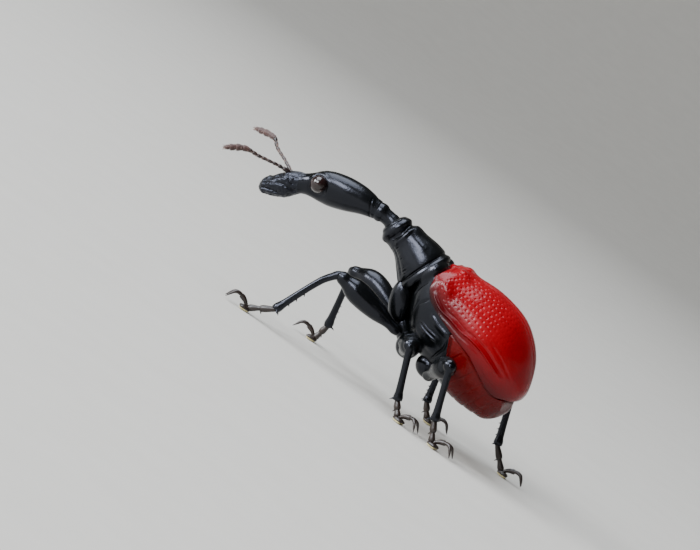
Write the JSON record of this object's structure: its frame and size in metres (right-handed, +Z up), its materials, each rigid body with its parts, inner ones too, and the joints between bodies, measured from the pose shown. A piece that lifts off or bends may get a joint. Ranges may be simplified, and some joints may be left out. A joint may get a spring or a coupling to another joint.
{
  "type": "giraffe weevil",
  "caption": "Life-size still model of a female giraffe weevil, standing, with a long head, a black body and red wing cases.",
  "frame": {"origin": "on the floor under the middle of the model's outer box", "axes": "+Z up from the soles; the animal's head points towards -X and its tail towards +X; its left side is towards -Y"},
  "size_m": [0.0186, 0.0074, 0.0072],
  "materials": {
    "cuticle_black": "smooth black shell with a satin shine",
    "wing_case_red": "glossy red shell with rows of fine pits",
    "abdomen_red_brown": "dark red-brown shell, satin",
    "eye_dark_brown": "smooth glossy dome",
    "feeler_brown": "brown shell with very short hair",
    "foot_brown": "brown shell with pale padded soles"
  },
  "bodies": {
    "root": {"abdomen": "abdomen_red_brown", "eye_left": "eye_dark_brown", "eye_right": "eye_dark_brown", "feeler_left": "feeler_brown", "feeler_right": "feeler_brown", "femur_front_left": "cuticle_black", "femur_front_right": "cuticle_black", "femur_hind_left": "cuticle_black", "femur_hind_right": "cuticle_black", "femur_middle_left": "cuticle_black", "femur_middle_right": "cuticle_black", "foot_front_left": "foot_brown", "foot_front_right": "foot_brown", "foot_hind_left": "foot_brown", "foot_hind_right": "foot_brown", "foot_middle_left": "foot_brown", "foot_middle_right": "foot_brown", "head": "cuticle_black", "hip_front_left": "cuticle_black", "hip_front_right": "cuticle_black", "hip_hind_left": "cuticle_black", "hip_hind_right": "cuticle_black", "hip_middle_left": "cuticle_black", "hip_middle_right": "cuticle_black", "jaw_left": "cuticle_black", "jaw_right": "cuticle_black", "neck": "cuticle_black", "prothorax": "cuticle_black", "thorax": "cuticle_black", "tibia_front_left": "cuticle_black", "tibia_front_right": "cuticle_black", "tibia_hind_left": "cuticle_black", "tibia_hind_right": "cuticle_black", "tibia_middle_left": "cuticle_black", "tibia_middle_right": "cuticle_black", "wing_case_left": "wing_case_red", "wing_case_right": "wing_case_red"}
  },
  "joints": []
}
